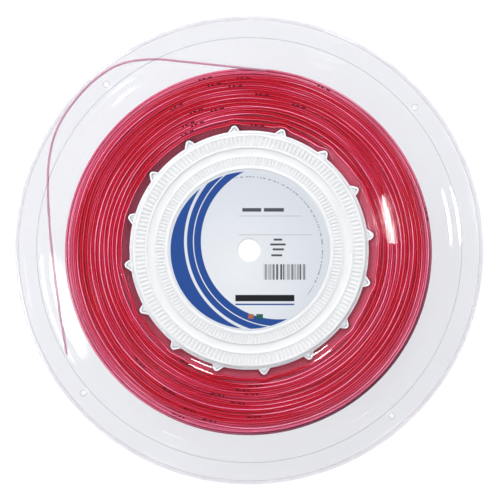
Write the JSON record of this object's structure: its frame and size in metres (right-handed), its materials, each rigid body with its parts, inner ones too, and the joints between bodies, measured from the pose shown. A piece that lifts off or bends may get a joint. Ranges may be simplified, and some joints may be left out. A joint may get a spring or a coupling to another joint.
{
  "type": "string reel",
  "caption": "Round clear reel for racket string: two dished flanges clamped on a ribbed white hub with a spindle bore, wound with glossy crimson string.",
  "frame": {"origin": "centre of the reel's footprint, on the surface that its rear rim rests on", "axes": "+Z along the reel's axis, out of the labelled side; +Y up as the reel's face is read; +X to the right of the face"},
  "size_m": [0.27, 0.27, 0.026],
  "materials": {
    "clear_case": "clear polished polystyrene",
    "hub_white": "milky white moulded plastic, fine satin",
    "label_paper": "printed paper with a satin varnish",
    "string_crimson": "glossy monofilament"
  },
  "bodies": {
    "root": {"hub_drum": "hub_white", "front_cap": "hub_white", "rear_cap": "hub_white", "front_flange": "clear_case", "rear_flange": "clear_case", "front_label": "label_paper", "string_core": "string_crimson", "string_outer_turns": "string_crimson", "string_tail": "string_crimson"}
  },
  "joints": []
}
